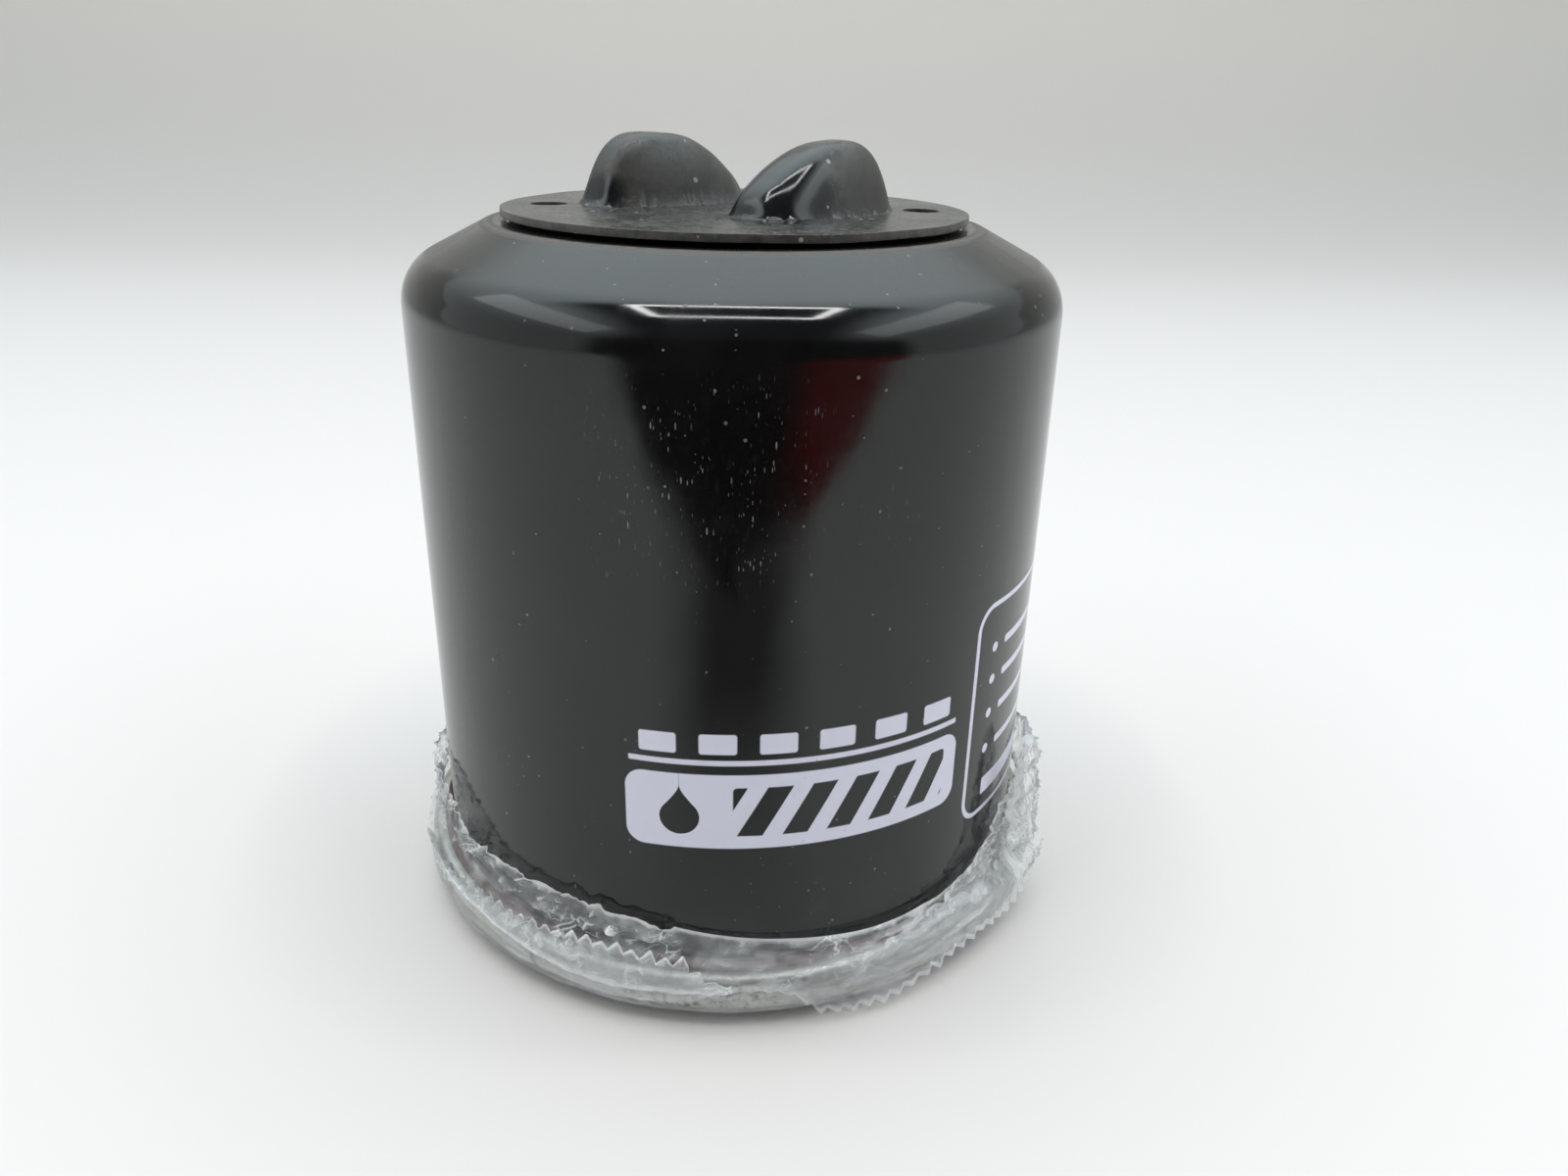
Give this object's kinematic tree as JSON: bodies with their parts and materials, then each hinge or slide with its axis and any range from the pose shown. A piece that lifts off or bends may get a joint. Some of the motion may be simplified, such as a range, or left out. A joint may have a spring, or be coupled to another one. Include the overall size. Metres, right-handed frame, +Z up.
{
  "type": "oil filter",
  "caption": "Small spin-on oil filter: black can with a two-horned grip plate, rolled seam, gasket, threaded base plate and pleated element with bypass and anti-drain valves",
  "frame": {"origin": "centre of the gasket's sealing face, which the filter stands on", "axes": "+Z up the can's axis to the grip plate; -Y faces the viewer, with one horn each side of the YZ plane"},
  "size_m": [0.0526, 0.0526, 0.0579],
  "materials": {
    "black_paint": "gloss, dusty and lightly scratched",
    "zinc_sheet": "zinc plated, dull and spotted",
    "sealing_compound": "matte",
    "black_rubber": "matte",
    "plain_steel": "phosphated",
    "red_rubber": "satin",
    "tin_sheet": "tinned",
    "adhesive": "satin",
    "filter_paper": "resin-stiffened",
    "spring_steel": "oiled",
    "clear_film": "clear and crinkled"
  },
  "bodies": {
    "housing": {"can": "black_paint", "handle_plate": "black_paint", "seaming_lid": "zinc_sheet", "seam_compound": "sealing_compound", "gasket": "black_rubber", "base_plate": "plain_steel", "support_spring": "spring_steel"},
    "element": {"lower_end_cap": "tin_sheet", "lower_potting": "adhesive", "pleated_media": "filter_paper", "media_clip": "tin_sheet", "centre_tube": "tin_sheet", "upper_potting": "adhesive", "upper_end_cap": "tin_sheet", "bypass_cage": "tin_sheet", "bypass_spring": "spring_steel"},
    "bypass_valve": {"bypass_disc": "plain_steel", "bypass_seal": "black_rubber"},
    "drain_valve": {"anti_drain_valve": "red_rubber"},
    "film": {"film_band": "clear_film"}
  },
  "joints": [
    {"name": "element_float", "type": "slide", "parent": "housing", "child": "element", "axis": [0, 0, 1], "range_m": [0, 0.0008], "stiffness_N_per_m": 5000, "springref_m": -0.004, "deforming": ["support_spring"]},
    {"name": "bypass_opening", "type": "slide", "parent": "element", "child": "bypass_valve", "axis": [0, 0, -1], "range_m": [0, 0.0025], "stiffness_N_per_m": 1500, "springref_m": -0.004, "deforming": ["bypass_spring"]},
    {"name": "drain_valve_lift", "type": "slide", "parent": "housing", "child": "drain_valve", "axis": [0, 0, 1], "range_m": [0, 0.0007], "stiffness_N_per_m": 300, "springref_m": -0.001},
    {"name": "film_pull_off", "type": "slide", "parent": "housing", "child": "film", "axis": [0, 0, -1], "range_m": [0, 0.02]}
  ]
}
